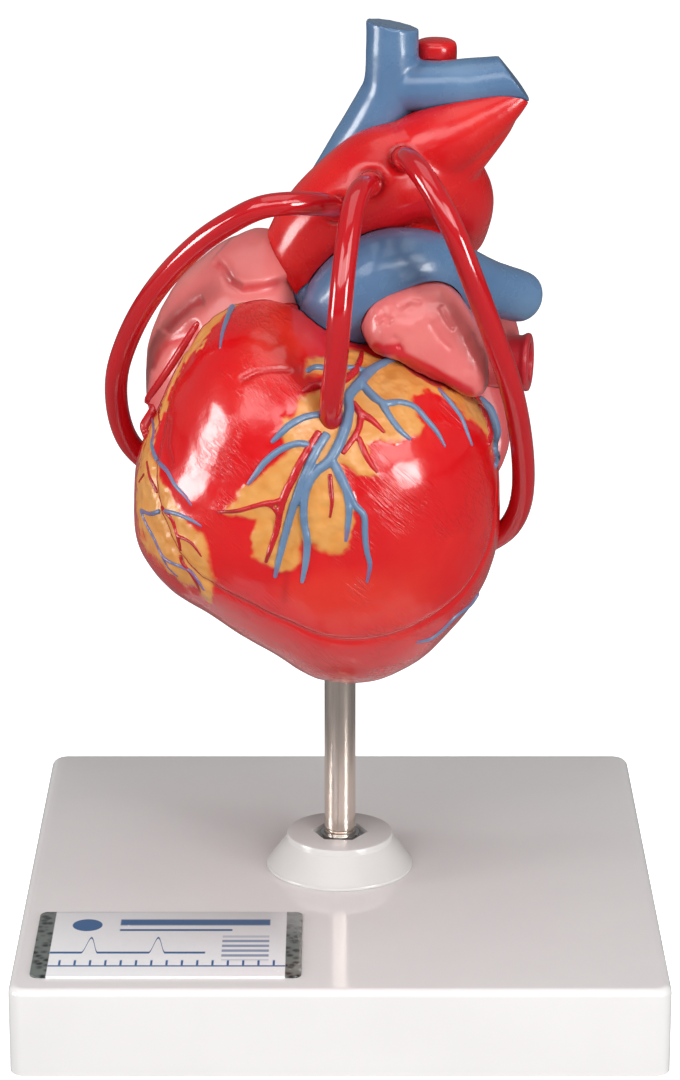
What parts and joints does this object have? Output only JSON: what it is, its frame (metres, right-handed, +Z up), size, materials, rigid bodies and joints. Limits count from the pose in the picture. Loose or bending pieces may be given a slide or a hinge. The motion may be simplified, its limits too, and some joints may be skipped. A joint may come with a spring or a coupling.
{
  "type": "heart anatomy model",
  "caption": "Human heart teaching model with bypass vessels, coronary vessels in relief and a front wall that pulls off to show the chambers, on a rod and square stand",
  "frame": {"origin": "middle of the underside of the base, which is the middle of the bottom of the bounding box apart from small overhangs", "axes": "+X to the viewer's right, +Y away from the viewer to the back, +Z up; the heart's front faces -Y"},
  "size_m": [0.12, 0.12, 0.1809],
  "materials": {
    "stand_white": "smooth semi-gloss white",
    "collar_white": "smooth semi-gloss white",
    "guide_steel": "bright",
    "washer_steel": "plain",
    "rod_steel": "warm satin",
    "clip_steel": "dark spring steel",
    "label_paper": "laminated",
    "socket_grey": "plain",
    "heart_red": "painted, glossy",
    "atrium_pink": "painted, semi-gloss",
    "atrium_dark": "painted, semi-gloss",
    "vein_blue": "painted, glossy",
    "valve_ivory": "painted, satin",
    "muscle_red": "painted, satin",
    "sleeve_plastic": "plain",
    "pin_steel": "plain",
    "bypass_red": "glossy",
    "artery_red": "painted, glossy",
    "coronary_blue": "painted, semi-gloss"
  },
  "bodies": {
    "stand": {"base_shell": "stand_white", "stand_collar": "collar_white", "hex_guide": "guide_steel", "washer": "washer_steel", "label_plate": "label_paper"},
    "rod": {"stand_rod": "rod_steel", "rod_clip": "clip_steel"},
    "heart": {"rod_socket": "socket_grey", "rear_wall": "heart_red", "right_atrium": "atrium_pink", "left_atrium": "atrium_dark", "left_auricle": "atrium_pink", "pulmonary_veins": "atrium_dark", "aorta": "heart_red", "superior_vena_cava": "vein_blue", "inferior_vena_cava": "vein_blue", "pulmonary_trunk": "vein_blue", "tricuspid_valve": "valve_ivory", "mitral_valve": "valve_ivory", "papillary_muscles": "muscle_red", "pin_sleeves": "sleeve_plastic", "left_bypass": "bypass_red", "right_bypass": "bypass_red"},
    "front": {"front_wall": "heart_red", "locating_pins": "pin_steel", "middle_bypass": "bypass_red", "coronary_arteries": "artery_red", "cardiac_veins": "coronary_blue"}
  },
  "joints": [
    {"name": "heart_turn", "type": "hinge", "parent": "stand", "child": "rod", "pos_m": [0, 0, 0], "axis": [0, 0, 1], "continuous": true},
    {"name": "heart_lift", "type": "slide", "parent": "rod", "child": "heart", "axis": [0, 0, 1], "range_m": [0, 0.045]},
    {"name": "front_wall_pull", "type": "slide", "parent": "heart", "child": "front", "axis": [0, -1, 0], "range_m": [0, 0.07]}
  ]
}
